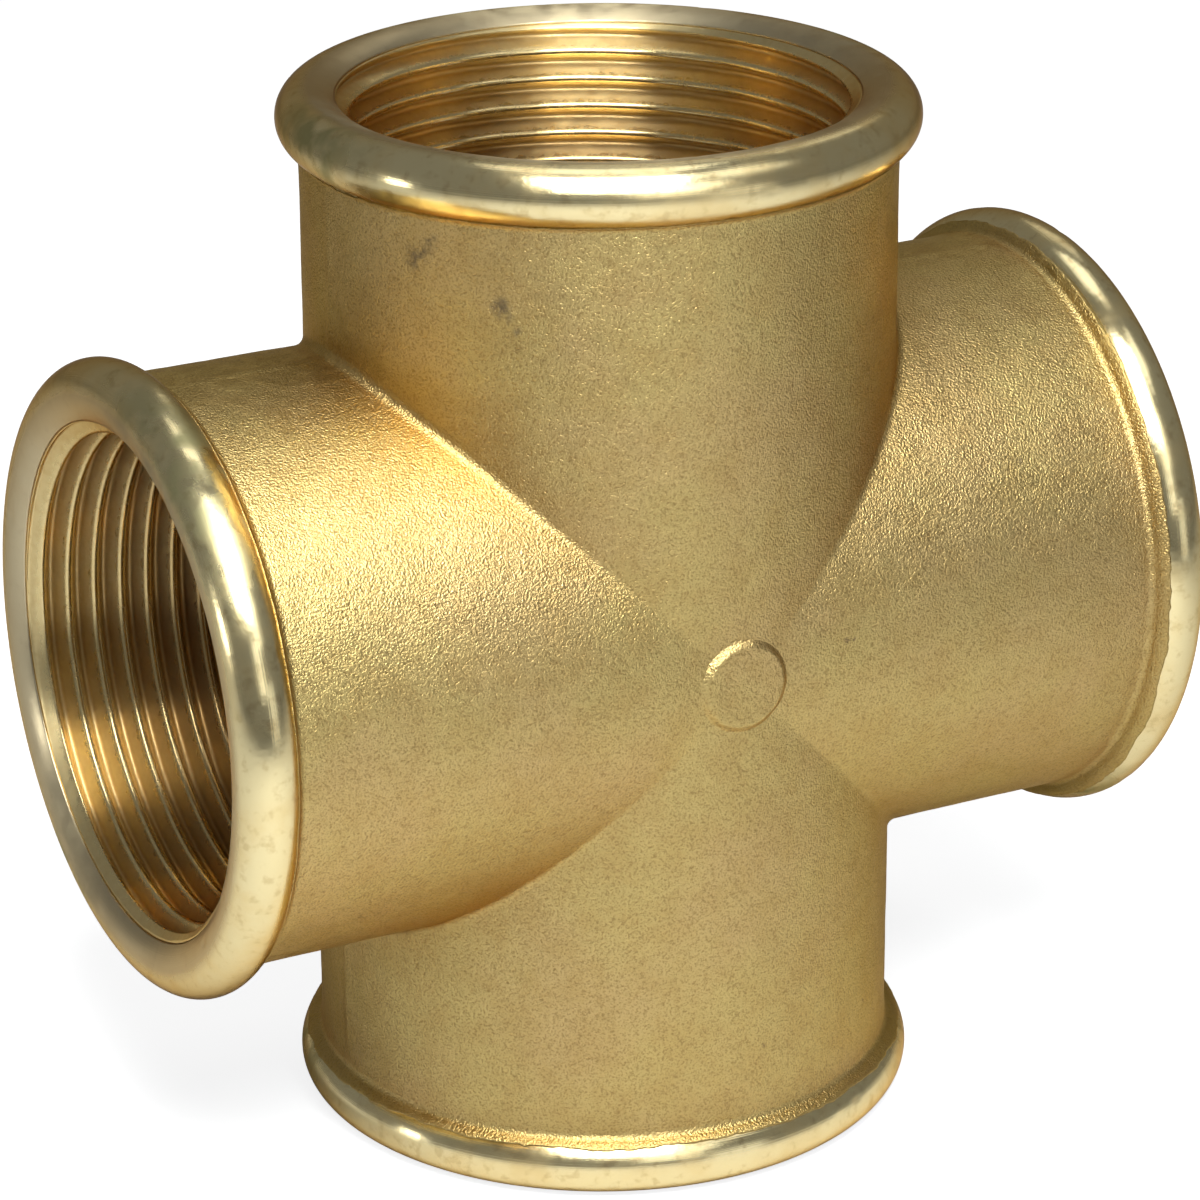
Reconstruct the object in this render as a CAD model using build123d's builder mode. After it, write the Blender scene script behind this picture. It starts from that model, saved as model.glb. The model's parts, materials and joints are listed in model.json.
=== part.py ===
from build123d import *
import os

# Pipe cross with four equal female ports, threaded G 1 1/4.
# Millimetres. The origin is where the two bore axes cross: +Z runs out of the top port,
# +X out of the right port, and -Y is the front.

# ---- driving dimensions ----
centre_to_face = 42.75              # origin to the end face of every port
branch_radius = 23.65               # outside of a branch
bead_radius = 25.4                  # outside of the bead at a port
bead_round = 2.45                   # radius of the bead's half-round section
thread_minor_radius = 38.952 / 2    # G 1 1/4: the wall that the thread is cut into
thread_depth = 20.0                 # end face to the inner end of the thread
countersink_radius = 21.15          # 45 degree countersink, at the end face
cut_zone_radius = 21.6              # outer limit of the metal around the thread's root
chamber_radius = 19.9               # the two crossing bores behind the threads
pad_radius = 3.4                    # plain round pad on the front
pad_height = 0.35
pad_chamfer = 0.15

# ---- worked out from them ----
bead_centre_radius = bead_radius - bead_round
bead_centre = centre_to_face - bead_round
bead_foot = (bead_round**2 - (branch_radius - bead_centre_radius) ** 2) ** 0.5
bead_start = bead_centre - bead_foot                # the bead's round leaves the branch here
countersink_end = centre_to_face - (countersink_radius - thread_minor_radius)
thread_start = centre_to_face - thread_depth

# A half section through each port: local x is the distance from the bore's axis, and local y
# the distance from the origin along it.
port_sections = {
    "top": Plane(origin=(0, 0, 0), x_dir=(1, 0, 0), z_dir=(0, -1, 0)),
    "bottom": Plane(origin=(0, 0, 0), x_dir=(1, 0, 0), z_dir=(0, 1, 0)),
    "left": Plane(origin=(0, 0, 0), x_dir=(0, 0, 1), z_dir=(0, -1, 0)),
    "right": Plane(origin=(0, 0, 0), x_dir=(0, 0, 1), z_dir=(0, 1, 0)),
}

os.makedirs("parts", exist_ok=True)


# ---- the forged body ----
# Two equal cylinders cross, and the bores that meet inside them leave the flow chamber.
with BuildPart() as cast_body:
    for bore_direction in ((0, 0, 1), (1, 0, 0)):
        with BuildSketch(Plane(origin=(0, 0, 0), z_dir=bore_direction)):
            Circle(branch_radius)
        extrude(amount=bead_start, both=True)
    with BuildSketch(Plane.XZ.offset(branch_radius - 1)):
        Circle(pad_radius)
    extrude(amount=1 + pad_height)
    pad_top = cast_body.faces().filter_by(GeomType.PLANE).sort_by(Axis.Y)[0]
    chamfer(pad_top.edges(), pad_chamfer)
    for bore_direction in ((0, 0, 1), (1, 0, 0)):
        with BuildSketch(Plane(origin=(0, 0, 0), z_dir=bore_direction)):
            Circle(chamber_radius)
        extrude(amount=centre_to_face, both=True, mode=Mode.SUBTRACT)
    for section in port_sections.values():
        with BuildSketch(Plane(origin=section.y_dir * thread_start, z_dir=section.y_dir)):
            Circle(cut_zone_radius)
        extrude(amount=thread_depth, mode=Mode.SUBTRACT)

cast_body.part.label = "cast_body"
export_step(cast_body.part, "parts/cast_body.step")


# ---- the turned end of each branch: bead, end face and countersink ----
for port, section in port_sections.items():
    with BuildPart() as rim:
        with BuildSketch(section):
            with BuildLine():
                back = Line((cut_zone_radius, bead_start), (branch_radius, bead_start))
                bead = ThreePointArc(
                    back @ 1,
                    (bead_radius, bead_centre),
                    (bead_centre_radius, centre_to_face),
                )
                face = Line(bead @ 1, (countersink_radius, centre_to_face))
                countersink = Line(face @ 1, (thread_minor_radius, countersink_end))
                seat = Line(countersink @ 1, (cut_zone_radius, countersink_end))
                Line(seat @ 1, back @ 0)
            make_face()
        revolve(axis=Axis((0, 0, 0), section.y_dir))

    rim.part.label = f"{port}_rim"
    export_step(rim.part, f"parts/{port}_rim.step")


# ---- the tapped wall of each port ----
# Drawn at the thread's minor diameter, with no helix.
for port, section in port_sections.items():
    with BuildPart() as thread:
        with BuildSketch(Plane(origin=section.y_dir * thread_start, z_dir=section.y_dir)):
            Circle(cut_zone_radius)
            Circle(thread_minor_radius, mode=Mode.SUBTRACT)
        extrude(amount=countersink_end - thread_start)

    thread.part.label = f"{port}_thread"
    export_step(thread.part, f"parts/{port}_thread.step")
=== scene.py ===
import json
import math

import bpy
import numpy as np
from mathutils import Matrix, Vector, noise


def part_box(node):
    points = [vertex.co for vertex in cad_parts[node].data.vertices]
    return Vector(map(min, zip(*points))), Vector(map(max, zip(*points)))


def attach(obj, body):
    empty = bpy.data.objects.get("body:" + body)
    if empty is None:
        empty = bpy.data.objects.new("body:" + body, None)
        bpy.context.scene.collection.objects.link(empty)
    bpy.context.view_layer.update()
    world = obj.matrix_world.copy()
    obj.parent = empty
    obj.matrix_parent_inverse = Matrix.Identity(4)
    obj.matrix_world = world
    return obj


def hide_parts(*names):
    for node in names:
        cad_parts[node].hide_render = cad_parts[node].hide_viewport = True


# Looks of a forged brass pipe cross with four equal threaded ports.
# +Z runs out of the top port, +X out of the right port, and -Y is the front.
# Shapes are worked out in millimetres. Materials, lights and the camera are in metres.

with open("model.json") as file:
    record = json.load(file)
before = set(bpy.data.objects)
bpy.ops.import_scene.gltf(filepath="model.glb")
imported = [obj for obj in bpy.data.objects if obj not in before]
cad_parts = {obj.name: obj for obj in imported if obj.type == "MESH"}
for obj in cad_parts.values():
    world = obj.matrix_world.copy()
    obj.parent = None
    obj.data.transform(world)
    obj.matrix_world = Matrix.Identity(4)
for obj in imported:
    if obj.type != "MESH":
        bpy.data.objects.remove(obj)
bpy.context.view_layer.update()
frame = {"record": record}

MM = 0.001
TURN = 2 * math.pi


def corners(node):
    """Lowest and highest corner of a CAD node, in millimetres."""
    return [np.round(np.array(corner) / MM, 3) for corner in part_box(node)]


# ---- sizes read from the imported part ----
body_low, body_high = corners("cast_body")
thread_low, thread_high = corners("top_thread")
rim_high = corners("top_rim")[1]
top_port = next(mount for mount in frame["record"]["mounts"] if mount["name"] == "top_port")
MINOR_RADIUS = top_port["dims"]["r_mm"]
BRANCH_RADIUS = body_high[1]
PAD_TOP = -body_low[1]
BEAD_RADIUS = rim_high[0]
FACE = rim_high[2]                       # from the origin to each port's end face
CUT_RADIUS = thread_high[0]              # outer limit of the metal around a thread
THREAD_START = thread_low[2]

# ---- details that only the looks need ----
BEAD_ROUND = 2.45                        # radius of the bead's half-round section
BEAD_CENTRE = FACE - BEAD_ROUND
BEAD_CENTRE_RADIUS = BEAD_RADIUS - BEAD_ROUND
CHAMBER_RADIUS = 19.9                    # the two bores that cross behind the threads
CREASE_ROUND = 0.85                      # rolling-ball fillet where two branches meet
FOOT_ROUND = 0.8                         # small round where the bead leaves the branch
SKIN = 0.08                              # blasted skin stands this proud of turned metal
PROFILE_START = 37.0                     # arc length along the bead's profile is 0 here
RIM_START = 0.35                         # the turned rim starts at this arc length
LIP_ROUND, LIP_TURN = 3.6, 40.3          # the end face rounds over into the countersink
SPLIT_RADIUS, SPLIT = 20.55, 41.85       # fine dark groove between rim and thread
PITCH = 2.309                            # G 1 1/4: 11 threads per inch, Whitworth form
HALF_ANGLE = math.radians(27.5)
THREAD_HEIGHT = 0.640327 * PITCH
THREAD_ROUND = 0.137329 * PITCH

PORTS = {"top": (0, 0, 1), "bottom": (0, 0, -1), "left": (-1, 0, 0), "right": (1, 0, 0)}
FRONT = np.array((0.0, -1.0, 0.0))

# Where the blasted skin stops on each port: arc length of the edge, tilt and its direction.
SKIN_EDGE = {
    "top": (1.10, 0.42, 150),
    "bottom": (2.20, 0.35, 300),
    "left": (1.55, 0.30, 40),
    "right": (2.05, 0.40, 120),
}

# Dark handling marks on the skin: port, angle round it, distance along it, size and strength.
SMUDGES = (
    ("top", 44, 31.4, 1.3, 1.0),
    ("top", 47, 29.6, 0.8, 0.7),
    ("top", 26, 34.2, 1.9, 0.8),
    ("top", 30, 36.0, 1.2, 0.6),
    ("right", 58, 27.2, 0.5, 1.0),
    ("bottom", 108, 30.0, 1.3, 0.35),
    ("left", 200, 28.0, 2.0, 0.6),
)

# Greenish tarnish on each turned rim: angle round the port and width, in degrees.
STAINS = {
    "top": ((0, 15), (182, 13), (250, 40)),
    "bottom": ((200, 14), (20, 20)),
    "left": ((150, 24), (330, 16)),
    "right": ((300, 22), (150, 14)),
}


# ---------------------------------------------------------------- mesh helpers
def port_sides(port):
    """The port's axis, and the direction square to it and to the front."""
    axis = np.array(PORTS[port], float)
    return axis, np.cross(FRONT, axis)


def place(port, radius, angle, along):
    """Points round a port's axis. Angle 90 degrees is the front, and it turns about the axis."""
    axis, side = port_sides(port)
    radial = np.cos(angle)[..., None] * side + np.sin(angle)[..., None] * FRONT
    return radius[..., None] * radial + along[..., None] * axis


def grid_faces(columns, rows, wrap_rows=False):
    """Quads of vertices [column, row] whose columns go all the way round."""
    i = np.arange(columns)[:, None]
    j = np.arange(rows if wrap_rows else rows - 1)[None, :]
    right, above = (i + 1) % columns, (j + 1) % rows
    quads = (i * rows + j, right * rows + j, right * rows + above, i * rows + above)
    return np.stack(quads, -1).reshape(-1, 4)


def merged(points, faces, *values):
    """Joins vertices at the same place, and drops the faces that close up."""
    keys = np.round(points * 1e4).astype(np.int64)
    _, first, index = np.unique(keys, axis=0, return_index=True, return_inverse=True)
    polygons = [list(dict.fromkeys(face)) for face in index.reshape(-1)[faces].tolist()]
    polygons = [face for face in polygons if len(face) > 2]
    return (points[first], polygons, *[value[first] for value in values])


def make_piece(name, points, faces, slot, material, replaced=(), **attributes):
    """A smooth-shaded mesh that rides on the body and may stand for CAD nodes."""
    mesh = bpy.data.meshes.new(name)
    mesh.from_pydata((points * MM).tolist(), [], [list(face) for face in faces])
    mesh.polygons.foreach_set("use_smooth", [True] * len(mesh.polygons))
    for key, values in attributes.items():
        attribute = mesh.attributes.new(key, "FLOAT", "POINT")
        attribute.data.foreach_set("value", values.astype(np.float32))
    mesh.materials.append(material)
    piece = bpy.data.objects.new(name, mesh)
    bpy.context.scene.collection.objects.link(piece)
    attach(piece, "root")
    if replaced:
        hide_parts(*replaced)
    return piece


def rough_field(points, size, seed, octaves=3):
    """Smooth noise from about -1 to 1 whose bumps are about size millimetres across."""
    shift = Vector((17.3 * seed, -9.1 * seed, 5.7 * seed))
    return np.array([noise.fractal(Vector(p) / size + shift, 1.0, 2.0, octaves) for p in points])


def arc(centre, radius, start, end, count):
    """(radius, along) points on an arc of a half section; angle 0 points along the axis."""
    angles = np.radians(np.linspace(start, end, count))
    return [(centre[0] + radius * math.sin(a), centre[1] + radius * math.cos(a)) for a in angles]


# ---------------------------------------------------------------- the bead's outside
class BeadProfile:
    """Branch line, small round and half-round bead of a port, by arc length, at some height
    above the turned surface."""

    def __init__(self, height):
        self.line_radius = BRANCH_RADIUS - SKIN + height
        self.bead_round = BEAD_ROUND + height
        self.foot = FOOT_ROUND - height
        ball_radius = self.line_radius + self.foot
        reach = self.bead_round + self.foot
        rise = ball_radius - BEAD_CENTRE_RADIUS
        self.ball = (ball_radius, BEAD_CENTRE - math.sqrt(reach**2 - rise**2))
        self.touch = math.pi - math.asin(rise / reach)      # bead angle where the round ends
        turn = self.touch - math.pi / 2                     # angle that the round turns through
        self.line_length = self.ball[1] - PROFILE_START
        self.foot_length = self.foot * turn
        self.bead_start = self.line_length + self.foot_length
        self.bead_top = self.bead_start + self.bead_round * turn

    def at(self, length):
        """Arrays (radius, along) at arc lengths from PROFILE_START."""
        length = np.asarray(length, float)
        radius = np.full(length.shape, self.line_radius)
        along = PROFILE_START + length
        in_foot = (length > self.line_length) & (length <= self.bead_start)
        turned = (length - self.line_length) / self.foot
        radius = np.where(in_foot, self.ball[0] - self.foot * np.cos(turned), radius)
        along = np.where(in_foot, self.ball[1] + self.foot * np.sin(turned), along)
        on_bead = length > self.bead_start
        angle = self.touch - (length - self.bead_start) / self.bead_round
        radius = np.where(on_bead, BEAD_CENTRE_RADIUS + self.bead_round * np.sin(angle), radius)
        along = np.where(on_bead, BEAD_CENTRE + self.bead_round * np.cos(angle), along)
        return radius, along


def skin_edge(port, angle):
    """Arc length at which the skin of a port ends, uneven all the way round."""
    mean, tilt, towards = SKIN_EDGE[port]
    ring = place(port, np.full(angle.shape, BRANCH_RADIUS), angle, np.zeros(angle.shape))
    uneven = 0.22 * rough_field(ring, 4.0, 3, 2) + 0.14 * rough_field(ring, 0.7, 4, 3)
    return mean + tilt * np.cos(angle - math.radians(towards)) + uneven


# ---------------------------------------------------------------- the forged body
def branch_grid(port, angle):
    """A quarter of the body by [column, row]: outside of a branch, back of its bead, the hidden
    step round the thread, and the chamber. Also says which points are free skin, and how far
    each one is up the bead, which sets the shade painted on the skin there."""
    branch_rows, back_rows, chamber_rows = 44, 14, 6
    skin = BeadProfile(SKIN)
    crossing = BRANCH_RADIUS * np.abs(np.cos(angle))
    share = np.linspace(0, 1, branch_rows) ** 1.3
    branch_along = crossing[:, None] + (PROFILE_START - crossing)[:, None] * share
    edge = skin_edge(port, angle)
    length = edge[:, None] * np.linspace(0, 1, back_rows + 1)[1:]
    back_radius, back_along = skin.at(length)
    # the skin's edge dips under the turned surface, so that no gap shows
    dip_radius, dip_along = BeadProfile(-0.2).at(edge + 0.03)
    step_along = PROFILE_START - 0.2
    step = ((BRANCH_RADIUS - 0.8, step_along), (CUT_RADIUS, step_along), (CUT_RADIUS, THREAD_START))
    step_radii, step_places = np.array([step] * len(angle)).transpose(2, 0, 1)
    chamber = CHAMBER_RADIUS * np.abs(np.cos(angle))
    inner = THREAD_START + (chamber - THREAD_START)[:, None] * np.linspace(0, 1, chamber_rows)

    radius = np.column_stack((
        np.full(branch_along.shape, BRANCH_RADIUS),
        back_radius,
        dip_radius,
        step_radii,
        np.full(inner.shape, CHAMBER_RADIUS),
    ))
    along = np.column_stack((branch_along, back_along, dip_along, step_places, inner))
    free = np.zeros(radius.shape)
    free[:, :branch_rows] = 1
    # painted shade: the skin is coloured darker as it runs up the back of the bead, and fully on
    # the dipped edge
    border = np.zeros(radius.shape)
    up_the_bead = (length - skin.line_length) / skin.foot_length
    border[:, branch_rows:branch_rows + back_rows] = np.clip(up_the_bead, 0, 1)
    border[:, branch_rows + back_rows] = 1
    angles = np.repeat(angle[:, None], radius.shape[1], 1)
    return place(port, radius, angles, along), free, border


def crossing_distance(points):
    """Signed distance to two crossing cylinders whose crease is filled by a rolling ball,
    the direction in which it grows, and how deep in the crease each point is. That depth
    sets the painted shade in the crease."""
    x, y, z = points.T
    from_z, from_x = np.hypot(x, y), np.hypot(y, z)
    zero = np.zeros(len(x))
    normal_z = np.stack((x / from_z, y / from_z, zero), 1)
    normal_x = np.stack((zero, y / from_x, z / from_x), 1)
    a, b = from_z - BRANCH_RADIUS, from_x - BRANCH_RADIUS
    cosine = (normal_z * normal_x).sum(1)
    alpha, beta = a - CREASE_ROUND, b - CREASE_ROUND
    spread = 1 - cosine**2
    safe = np.maximum(spread, 1e-6)
    in_crease = (alpha <= cosine * beta) & (beta <= cosine * alpha) & (spread > 1e-6)
    reach = np.sqrt(np.maximum((alpha**2 + beta**2 - 2 * cosine * alpha * beta) / safe, 1e-9))
    share_z, share_x = (alpha - cosine * beta) / safe, (beta - cosine * alpha) / safe
    away = -(share_z[:, None] * normal_z + share_x[:, None] * normal_x) / reach[:, None]
    plain = np.where((a < b)[:, None], normal_z, normal_x)
    distance = np.where(in_crease, CREASE_ROUND - reach, np.minimum(a, b))
    # how deep in the crease a point lies, for the shade painted into the skin there
    depth = np.exp(-np.abs(a - b) / 2.2) * np.clip(1.25 * (1 - cosine), 0, 1)
    return distance, np.where(in_crease[:, None], away, plain), depth


def forged_height(points):
    """How far the skin stands off its true shape: soft waves, and a low ridge where the two
    halves of the die met. Both fade out before the bead."""
    ridge_height, ridge_width, sunk, fade_length = 0.13, 0.42, 0.03, 1.5
    reach = np.abs(points[:, [0, 2]]).max(1)
    fade = np.clip((PROFILE_START - reach) / fade_length, 0, 1)
    waves = 0.036 * rough_field(points, 7.0, 1) + 0.016 * rough_field(points, 1.6, 2)
    ridge = ridge_height * np.exp(-((points[:, 1] / ridge_width) ** 2))
    ridge *= np.clip(0.75 + 0.5 * rough_field(points, 5.0, 5), 0.2, 1.2)
    return (waves + ridge - sunk) * fade


def smudged(points):
    """How strongly each point of the skin is smudged."""
    strength = np.zeros(len(points))
    for port, degrees, along, size, depth in SMUDGES:
        spot = place(port, np.array(BRANCH_RADIUS), np.radians(degrees), np.array(along))
        strength += depth * np.exp(-((points - spot) ** 2).sum(1) / size**2)
    return np.clip(strength, 0, 1)


def build_body(material):
    """The blasted outside with its filleted crossing, and the flow chamber inside."""
    columns = 336
    angle = np.arange(columns) * TURN / columns
    quarters = [branch_grid(port, angle) for port in PORTS]
    rows = quarters[0][1].shape[1]
    quads = grid_faces(columns, rows)
    faces = np.concatenate([quads + columns * rows * number for number in range(len(quarters))])
    points, free, border = (np.concatenate(grids) for grids in zip(*quarters))
    points, faces, free, border = merged(
        points.reshape(-1, 3), faces, free.ravel(), border.ravel()
    )
    free = free > 0
    for _ in range(6):
        distance, away, depth = crossing_distance(points[free])
        points[free] -= distance[:, None] * away
    # painted shade: the skin is coloured darker and warmer deep in the creases between branches
    crease = np.zeros(len(points))
    crease[free] = depth
    points[free] += forged_height(points[free])[:, None] * away
    return make_piece(
        "forged_body", points, faces, "cast_skin", material, ["cast_body"],
        crease=crease, border=border, smudge=smudged(points),
    )


def build_pad(material):
    """The plain round pad on the front, with a soft foot that sinks into the body."""
    columns, flat_radius, foot_radius = 96, 3.2, 3.95
    top, sunk, base = PAD_TOP - 0.03, 0.06, BRANCH_RADIUS - 1.0
    radii = np.concatenate((
        np.linspace(0, flat_radius, 14),
        np.linspace(flat_radius, foot_radius, 12)[1:],
        [foot_radius, 0],
    ))
    angle = np.arange(columns) * TURN / columns
    x, z = radii * np.cos(angle)[:, None], radii * np.sin(angle)[:, None]
    surface = np.sqrt(BRANCH_RADIUS**2 - np.minimum(np.abs(x), np.abs(z)) ** 2)
    share = np.clip((radii - flat_radius) / (foot_radius - flat_radius), 0, 1)
    share = share * share * (3 - 2 * share)
    height = top + (surface - sunk - top) * share
    height[:, -2:] = base
    points, faces = merged(
        np.stack((x, -height, z), -1).reshape(-1, 3), grid_faces(columns, len(radii))
    )
    shown = points[:, 1] < -BRANCH_RADIUS
    points[shown, 1] += 0.02 * rough_field(points[shown], 1.8, 6)
    nothing = np.zeros(len(points))
    return make_piece(
        "front_pad", points, faces, "cast_skin", material,
        crease=nothing, border=nothing, smudge=nothing,
    )


# ---------------------------------------------------------------- the turned rims
def rim_section():
    """(radius, along) points once round the section of a rim: its hidden inner corner, the
    shoulder, the bead, the end face with its rounded lip, and the hidden inner corner again."""
    turned = BeadProfile(0)
    lengths = np.concatenate((
        np.linspace(RIM_START, turned.bead_start, 8)[:-1],
        np.linspace(turned.bead_start, turned.bead_top, 16),
    ))
    section = [(CUT_RADIUS, PROFILE_START + RIM_START)]
    section += list(zip(*turned.at(lengths)))
    section += arc((BEAD_CENTRE_RADIUS, BEAD_CENTRE), BEAD_ROUND, 84, 0, 20)
    section += arc((BEAD_CENTRE_RADIUS, FACE - LIP_ROUND), LIP_ROUND, -3, -LIP_TURN, 14)
    section += [(SPLIT_RADIUS + 0.2, SPLIT - 0.08), (CUT_RADIUS, SPLIT - 0.12)]
    return np.array(section)


def dents(angles, heights, highest, seed):
    """Depth of the dents and nicks from handling, by angle and by arc length up the section."""
    rng = np.random.default_rng(seed)
    depth = np.zeros(angles.shape)
    for _ in range(46):
        where = rng.uniform(0, TURN)
        height = rng.uniform(1.0, highest)
        width, tall = rng.uniform(0.25, 0.75), rng.uniform(0.15, 0.45)
        deep = rng.uniform(0.015, 0.075)
        turn = (angles - where + math.pi) % TURN - math.pi
        gap = (turn * BEAD_RADIUS / width) ** 2 + ((heights - height) / tall) ** 2
        depth += deep * np.exp(-gap)
    return depth


def tarnish(port, points):
    """Strength of the tarnish at each point: ragged patches at some places round the rim."""
    side = port_sides(port)[1]
    angle = np.degrees(np.arctan2(points @ FRONT, points @ side))
    stain = np.zeros(len(points))
    for towards, width in STAINS[port]:
        turn = (angle - towards + 180) % 360 - 180
        stain += np.exp(-((turn / width) ** 2))
    patchy = rough_field(points, 2.2, 8)
    return np.clip(stain * np.clip(0.55 + 1.1 * patchy, 0, 1), 0, 1)


def build_rim(port, seed, material):
    """The bright bead, end face and outer part of the countersink."""
    columns = 448
    section = rim_section()
    rows = len(section)
    angle = np.arange(columns) * TURN / columns
    angles = np.repeat(angle[:, None], rows, 1)
    radius = np.repeat(section[None, :, 0], columns, 0)
    along = np.repeat(section[None, :, 1], columns, 0)
    run = np.concatenate(([0], np.cumsum(np.hypot(*np.diff(section, axis=0).T))))
    arc_length = np.repeat(run[None, :], columns, 0)

    # dents are pressed in square to the surface, and only where it shows
    direction = np.gradient(section, axis=0)
    direction /= np.hypot(*direction.T)[:, None]
    shown = np.ones(rows)
    shown[[0, -1, -2]] = 0
    press = dents(angles, arc_length, run[-10], seed) * shown
    radius -= press * direction[None, :, 1]
    along += press * direction[None, :, 0]
    points = place(port, radius, angles, along).reshape(-1, 3)
    # the end face, which the material makes rougher and paints darker, partly as a painted dark
    # reflection
    face = np.clip((BEAD_CENTRE_RADIUS + 0.7 - radius) / 0.9, 0, 1) * shown
    return make_piece(
        f"{port}_turned_rim", points, grid_faces(columns, rows, wrap_rows=True),
        "turned_brass", material, [f"{port}_rim"],
        ring=arc_length.ravel(), stain=tarnish(port, points), face=face.ravel(),
    )


# ---------------------------------------------------------------- the threads
def thread_radius(phase):
    """Radius of a Whitworth internal thread at a phase of its pitch: 0 is the groove."""
    offset = PITCH * np.abs((phase + 0.5) % 1 - 0.5)
    to_crest = PITCH / 2 - offset
    rounded = THREAD_ROUND * math.cos(HALF_ANGLE)        # half width of each rounded part
    middle = MINOR_RADIUS + THREAD_HEIGHT / 2
    flank = middle + (PITCH / 4 - offset) / math.tan(HALF_ANGLE)
    root = np.sqrt(np.maximum(THREAD_ROUND**2 - np.minimum(offset, rounded) ** 2, 0))
    crest = np.sqrt(np.maximum(THREAD_ROUND**2 - np.minimum(to_crest, rounded) ** 2, 0))
    groove = MINOR_RADIUS + THREAD_HEIGHT - THREAD_ROUND + root
    ridge = MINOR_RADIUS + THREAD_ROUND - crest
    return np.where(to_crest < rounded, ridge, np.where(offset < rounded, groove, flank))


def build_thread(port, start_turn, material):
    """One helical groove, right-handed, that runs out inside and opens in a countersink."""
    columns, rows_per_pitch = 256, 22
    angle = np.arange(columns + 1) * TURN / columns
    low, high = THREAD_START, SPLIT - 0.05

    # rows follow the helix, so that crests stay sharp, and are cut off square at both ends
    first = math.floor(low / PITCH) - 1
    last = math.ceil(high / PITCH) + 1
    steps = np.arange(first * rows_per_pitch, last * rows_per_pitch) / rows_per_pitch
    along = np.clip(PITCH * (steps[None, :] + angle[:, None] / TURN), low, high)
    radius = thread_radius(along / PITCH - angle[:, None] / TURN + start_turn)

    # the groove runs out over the last turn inside, and the countersink cuts the first crests
    run_out = np.clip((along - low - 0.3) / (1.3 * PITCH), 0, 1)
    radius = MINOR_RADIUS + (radius - MINOR_RADIUS) * run_out
    cone = SPLIT_RADIUS - (SPLIT - along) * 1.15
    limit = SPLIT_RADIUS + np.clip((SPLIT - 0.15 - along), 0, None) * 0.6
    radius = np.maximum(np.minimum(radius, limit), cone)

    # a hidden back closes the wall
    angles = np.repeat(angle[:, None], len(steps), 1)
    back = CUT_RADIUS - 0.05
    ones = np.ones(columns + 1)
    radius = np.column_stack((radius, ones * (SPLIT_RADIUS + 0.2), ones * back, ones * back))
    along = np.column_stack((along, ones * high, ones * (high - 0.1), ones * low))
    angles = np.column_stack((angles, angle, angle, angle))
    # how deep into the thread each point lies, for roughness and for the shade painted in the
    # grooves
    groove = (radius - MINOR_RADIUS) / THREAD_HEIGHT
    rows = radius.shape[1]
    points = place(port, radius, angles, along).reshape(-1, 3)
    # the last column lies on the first one, one pitch further on, so it starts no faces
    faces = grid_faces(columns + 1, rows, wrap_rows=True)[: columns * rows]
    points, faces, groove, depth = merged(points, faces, groove.ravel(), along.ravel())
    # painted shade: the thread is coloured darker the deeper it lies towards the chamber
    inside = np.clip((FACE - depth) / (FACE - THREAD_START), 0, 1)
    return make_piece(
        f"{port}_cut_thread", points, faces, "cut_thread", material, [f"{port}_thread"],
        groove=np.clip(groove, 0, 1), inside=inside,
    )


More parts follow.
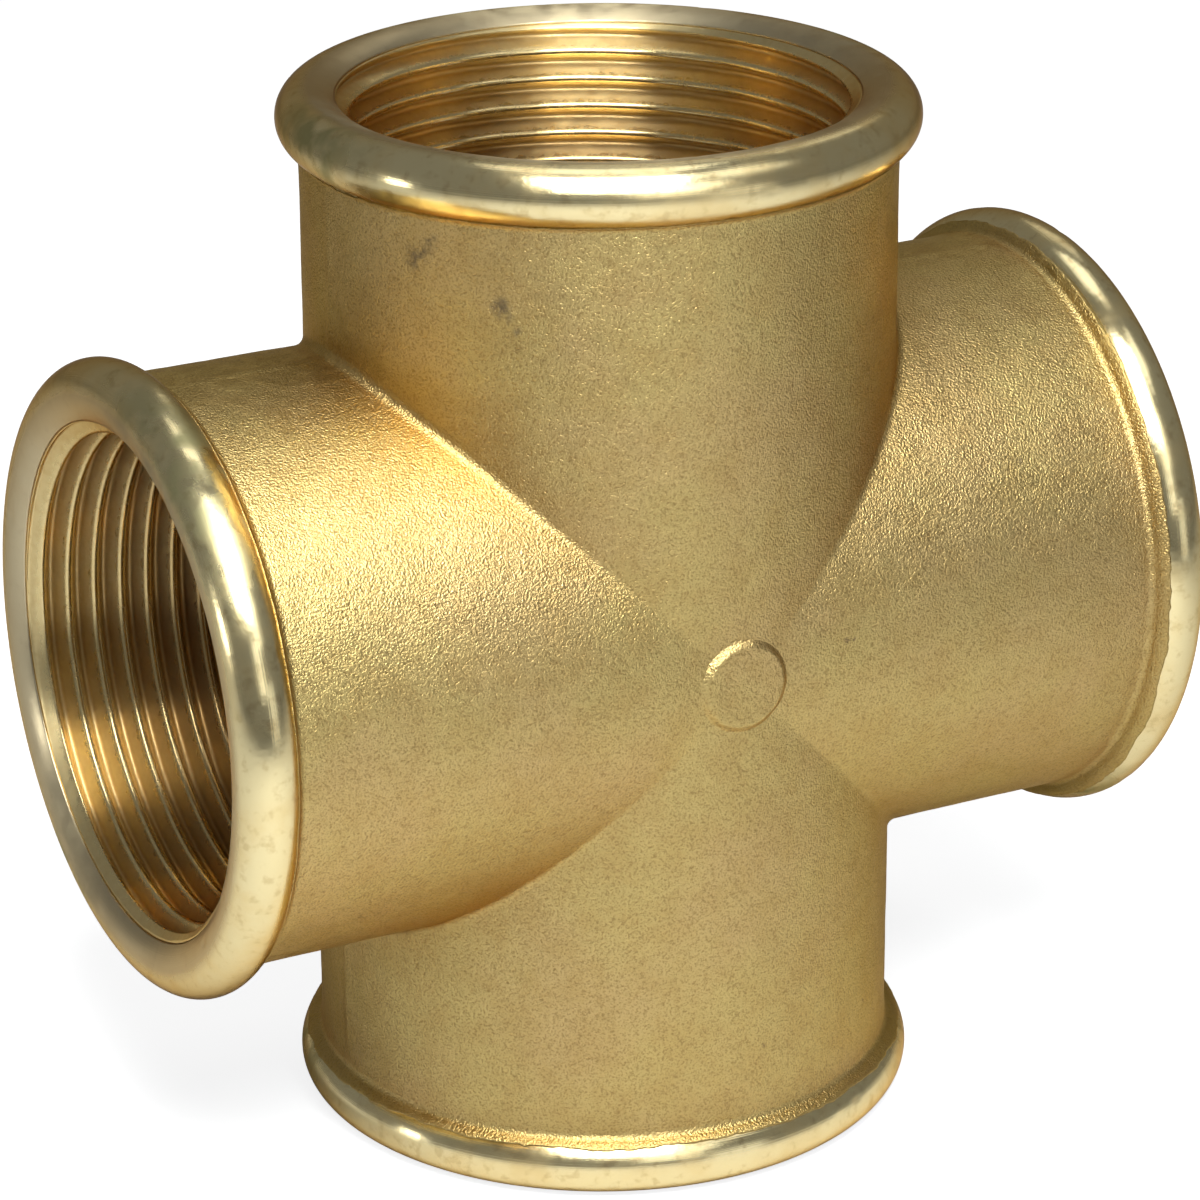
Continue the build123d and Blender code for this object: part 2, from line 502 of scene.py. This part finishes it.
# ---------------------------------------------------------------- materials
class Nodes:
    """Short calls for a metal's node tree."""

    def __init__(self, name):
        self.material = bpy.data.materials.new(name)
        self.material.use_nodes = True
        self.tree = self.material.node_tree
        self.shader = self.tree.nodes["Principled BSDF"]
        self.place = self.add("ShaderNodeTexCoord").outputs["Object"]

    def add(self, kind, **settings):
        made = self.tree.nodes.new(kind)
        for key, value in settings.items():
            setattr(made, key, value)
        return made

    def feed(self, socket, value):
        """Links a socket to another one, or sets its value."""
        if isinstance(value, bpy.types.NodeSocket):
            self.tree.links.new(value, socket)
        else:
            socket.default_value = value

    def noise(self, scale, detail=2.0, roughness=0.5):
        """Noise value whose scale is in bumps per metre."""
        made = self.add("ShaderNodeTexNoise")
        self.feed(made.inputs["Vector"], self.place)
        made.inputs["Scale"].default_value = scale
        made.inputs["Detail"].default_value = detail
        made.inputs["Roughness"].default_value = roughness
        return made.outputs["Fac"]

    def line_noise(self, value, scale, detail):
        """Noise along one number, for turning marks."""
        made = self.add("ShaderNodeTexNoise", noise_dimensions="1D")
        self.feed(made.inputs["W"], value)
        made.inputs["Scale"].default_value = scale
        made.inputs["Detail"].default_value = detail
        return made.outputs["Fac"]

    def attribute(self, name):
        return self.add("ShaderNodeAttribute", attribute_name=name).outputs["Fac"]

    def math(self, operation, first, second):
        made = self.add("ShaderNodeMath", operation=operation)
        self.feed(made.inputs[0], first)
        self.feed(made.inputs[1], second)
        return made.outputs[0]

    def ranged(self, value, low, high, to_low=0.0, to_high=1.0):
        """Takes a value from one range to another, with soft ends and no overshoot."""
        made = self.add("ShaderNodeMapRange", interpolation_type="SMOOTHSTEP")
        self.feed(made.inputs["Value"], value)
        made.inputs["From Min"].default_value = low
        made.inputs["From Max"].default_value = high
        made.inputs["To Min"].default_value = to_low
        made.inputs["To Max"].default_value = to_high
        return made.outputs["Result"]

    def mix(self, share, first, second):
        """First colour where the share is 0, second colour where it is 1."""
        made = self.add("ShaderNodeMix", data_type="RGBA")
        self.feed(made.inputs["Factor"], share)
        for socket, value in ((made.inputs[6], first), (made.inputs[7], second)):
            self.feed(socket, value if isinstance(value, bpy.types.NodeSocket) else (*value, 1))
        return made.outputs[2]

    def bump(self, height, strength, distance, below=None):
        """Bump whose distance is in metres, on top of another bump if there is one below."""
        made = self.add("ShaderNodeBump")
        self.feed(made.inputs["Height"], height)
        made.inputs["Strength"].default_value = strength
        made.inputs["Distance"].default_value = distance
        if below:
            self.feed(made.inputs["Normal"], below)
        return made.outputs["Normal"]

    def turned(self, axis, strength):
        """Turning marks round an axis draw each highlight out across the marks."""
        around = self.add("ShaderNodeTangent", direction_type="RADIAL", axis=axis)
        self.feed(self.shader.inputs["Tangent"], around.outputs["Tangent"])
        self.shader.inputs["Anisotropic"].default_value = strength
        self.shader.inputs["Anisotropic Rotation"].default_value = 0.25

    def finish(self, colour, roughness, normal):
        """Brass: a metal that reflects a browner colour at its edges."""
        self.shader.inputs["Metallic"].default_value = 1.0
        self.shader.inputs["Specular Tint"].default_value = (0.80, 0.56, 0.32, 1)
        self.feed(self.shader.inputs["Base Color"], colour)
        self.feed(self.shader.inputs["Roughness"], roughness)
        self.feed(self.shader.inputs["Normal"], normal)
        return self.material


def blasted_skin():
    """Forged brass under fine grit blasting: satin, sparkling, patchy gold to brown, with painted
    shade in the creases where the branches meet and on the skin that runs up the back of each bead.
    """
    n = Nodes("blasted_brass_skin")
    broad = n.ranged(n.noise(75, 3, 0.55), 0.35, 0.65)
    patch = n.ranged(n.noise(330, 4, 0.62), 0.40, 0.66)
    colour = n.mix(broad, (0.610, 0.478, 0.190), (0.610, 0.450, 0.195))
    colour = n.mix(n.math("MULTIPLY", patch, 0.45), colour, (0.520, 0.365, 0.135))
    flecks = n.ranged(n.noise(1700, 3, 0.7), 0.50, 0.75)
    colour = n.mix(n.math("MULTIPLY", flecks, 0.45), colour, (0.380, 0.250, 0.090))
    grain = n.noise(5400, 2, 0.6)
    pits = n.ranged(grain, 0.28, 0.55, 0.65, 0.0)
    colour = n.mix(pits, colour, (0.270, 0.175, 0.060))
    # painted shade: a darker, warmer colour with a tint of bounced light, deep in the creases where
    # the branches meet
    crease = n.math("MULTIPLY", n.attribute("crease"), 0.45)
    colour = n.mix(crease, colour, (0.49, 0.30, 0.085))
    spots = n.ranged(n.noise(230, 5, 0.7), 0.70, 0.75)
    colour = n.mix(n.math("MULTIPLY", spots, 0.7), colour, (0.20, 0.13, 0.07))
    # painted shade: the skin darkens as it runs up the back of each bead
    border = n.math("MULTIPLY", n.attribute("border"), 0.4)
    colour = n.mix(border, colour, (0.44, 0.31, 0.10))
    ragged = n.math("MULTIPLY", n.attribute("smudge"), n.noise(1500, 4, 0.7))
    colour = n.mix(n.ranged(ragged, 0.22, 0.55, 0, 0.75), colour, (0.13, 0.11, 0.08))
    roughness = n.ranged(n.noise(700, 3), 0.3, 0.7, 0.30, 0.38)
    coarse = n.bump(n.noise(2300, 3, 0.65), 1.0, 0.000045)
    normal = n.bump(grain, 1.0, 0.00010, coarse)
    return n.finish(colour, roughness, normal)


def turned_brass(axis):
    """Turned and lightly polished brass: turning marks, haze, tarnish, and an end face that is
    rougher and coloured darker, partly a duller finish and partly a painted dark reflection.
    """
    n = Nodes("turned_brass_bright")
    n.turned(axis, 0.7)
    haze = n.ranged(n.noise(160, 4, 0.6), 0.4, 0.7)
    smear = n.ranged(n.noise(900, 3, 0.6), 0.52, 0.72, 0, 0.45)
    stain, face = n.attribute("stain"), n.attribute("face")
    colour = n.mix(haze, (0.90, 0.78, 0.44), (0.85, 0.69, 0.35))
    colour = n.mix(smear, colour, (0.56, 0.41, 0.18))
    colour = n.mix(n.math("MULTIPLY", stain, 0.8), colour, (0.33, 0.33, 0.16))
    # the end face: a duller finish, and a darker colour that partly paints in the dark it reflects
    colour = n.mix(n.math("MULTIPLY", face, 0.8), colour, (0.55, 0.47, 0.315))
    roughness = n.ranged(haze, 0, 1, 0.17, 0.25)
    roughness = n.math("ADD", roughness, n.math("MULTIPLY", stain, 0.25))
    roughness = n.math("ADD", roughness, n.math("MULTIPLY", face, 0.13))
    low = n.bump(n.noise(550, 3, 0.6), 0.25, 0.00009)
    marks = n.line_noise(n.attribute("ring"), 9.0, 3)
    normal = n.bump(marks, 0.22, 0.00004, low)
    return n.finish(colour, roughness, normal)


def cut_thread(axis):
    """Tapped brass: bright flanks, with painted shade making them darker and browner in the grooves
    and towards the chamber.
    """
    n = Nodes("cut_thread_brass")
    n.turned(axis, 0.9)
    groove, inside = n.attribute("groove"), n.attribute("inside")
    marks = n.noise(1300, 3, 0.6)
    colour = n.mix(n.ranged(marks, 0.4, 0.7, 0, 0.6), (0.82, 0.66, 0.33), (0.74, 0.57, 0.26))
    # painted shade: darker brown deep in each groove
    colour = n.mix(n.ranged(groove, 0.7, 1.0, 0, 0.5), colour, (0.42, 0.25, 0.08))
    # painted shade: darker and browner deeper in the port, towards the chamber
    colour = n.mix(n.ranged(inside, 0.1, 1.0, 0, 0.75), colour, (0.32, 0.17, 0.05))
    roughness = n.ranged(marks, 0.3, 0.7, 0.20, 0.28)
    roughness = n.math("ADD", roughness, n.ranged(groove, 0.05, 0.45, 0, 0.08))
    normal = n.bump(marks, 0.08, 0.00006)
    return n.finish(colour, roughness, normal)


def pale_floor(tone, glow):
    """Plain matt floor, which may glow a little so that it looks as pale as a light table."""
    n = Nodes("pale_floor")
    n.shader.inputs["Base Color"].default_value = (tone, tone, tone, 1)
    n.shader.inputs["Roughness"].default_value = 0.8
    n.shader.inputs["Emission Color"].default_value = (1, 1, 1, 1)
    n.shader.inputs["Emission Strength"].default_value = glow
    return n.material


# ---------------------------------------------------------------- floor, lights and camera
def build_floor(name, depth, tone, glow):
    """A wide plane that lies depth millimetres below the bottom port's face."""
    half = 3.0
    height = (-FACE - depth) * MM
    ring = [(-half, -half), (half, -half), (half, half), (-half, half)]
    mesh = bpy.data.meshes.new(name)
    mesh.from_pydata([(x, y, height) for x, y in ring], [], [(0, 1, 2, 3)])
    mesh.materials.append(pale_floor(tone, glow))
    floor = bpy.data.objects.new(name, mesh)
    bpy.context.scene.collection.objects.link(floor)
    return floor


def build_floors():
    """The floor that is seen is paler than the one that the metal reflects."""
    reflected = build_floor("floor_in_reflections", 0.0, 0.68, 0.0)
    reflected.visible_camera = False
    reflected.visible_shadow = False
    seen = build_floor("floor_seen", 0.1, 0.86, 0.75)
    seen.visible_glossy = False
    seen.visible_diffuse = False


def softbox(name, azimuth, elevation, distance, width, height, power):
    """A soft light that faces the origin. Azimuth 0 is the front and grows to the right."""
    data = bpy.data.lights.new(name, "AREA")
    data.shape = "RECTANGLE"
    data.size, data.size_y = width, height
    data.energy = power
    light = bpy.data.objects.new(name, data)
    a, e = math.radians(azimuth), math.radians(elevation)
    towards = Vector((math.sin(a) * math.cos(e), -math.cos(a) * math.cos(e), math.sin(e)))
    light.location = towards * distance
    light.rotation_mode = "QUATERNION"
    light.rotation_quaternion = towards.to_track_quat("Z", "Y")
    light.visible_camera = False
    bpy.context.scene.collection.objects.link(light)


def build_lights():
    """A near softbox high in front on the left, weak fills round it and an even dim room."""
    softbox("key", -23, 54, 0.25, 0.15, 0.16, 0.93)
    softbox("key_low_right", 6, 36, 0.25, 0.09, 0.08, 0.035)
    softbox("front_fill", -4, 20, 0.45, 0.17, 0.15, 0.092)
    softbox("low_right_fill", 20, 4, 0.45, 0.17, 0.15, 0.055)
    softbox("high_right_fill", 44, 58, 0.45, 0.17, 0.15, 0.10)
    softbox("back_right", 140, 42, 0.45, 0.17, 0.15, 0.04)
    softbox("overhead", 152, 76, 0.45, 0.22, 0.18, 0.17)
    softbox("left_low", -99, 1, 0.45, 0.07, 0.04, 0.09)
    world = bpy.data.worlds.new("studio")
    world.use_nodes = True
    background = world.node_tree.nodes["Background"]
    background.inputs["Color"].default_value = (1, 1, 1, 1)
    background.inputs["Strength"].default_value = 0.19
    bpy.context.scene.world = world


def build_camera():
    """The photograph's viewpoint: on the left of the front, seen from above, long lens."""
    azimuth, elevation, roll = (math.radians(v) for v in (-27.916, 21.73, -0.294))
    distance, target = 0.3985, Vector((-0.0001, 0, -0.00106))
    back = Vector((
        math.sin(azimuth) * math.cos(elevation),
        -math.cos(azimuth) * math.cos(elevation),
        math.sin(elevation),
    ))
    level = Vector((math.cos(azimuth), math.sin(azimuth), 0))
    right = math.cos(roll) * level + math.sin(roll) * back.cross(level)
    upward = back.cross(right)
    data = bpy.data.cameras.new("camera")
    data.sensor_width, data.lens = 36, 146.68
    data.clip_start, data.clip_end = 0.01, 50
    camera = bpy.data.objects.new("camera", data)
    turned = Matrix((right, upward, back)).transposed().to_4x4()
    camera.matrix_world = Matrix.Translation(target + back * distance) @ turned
    bpy.context.scene.collection.objects.link(camera)
    bpy.context.scene.camera = camera


# ---------------------------------------------------------------- the scene
skin = blasted_skin()
build_body(skin)
build_pad(skin)
bright = {axis: turned_brass(axis) for axis in "XZ"}
thread = {axis: cut_thread(axis) for axis in "XZ"}
for number, (port, towards) in enumerate(PORTS.items()):
    axis = "Z" if towards[2] else "X"
    build_rim(port, 20 + number, bright[axis])
    build_thread(port, 0.27 * number, thread[axis])
build_floors()
build_lights()
build_camera()
bpy.context.scene.view_settings.view_transform = "Standard"
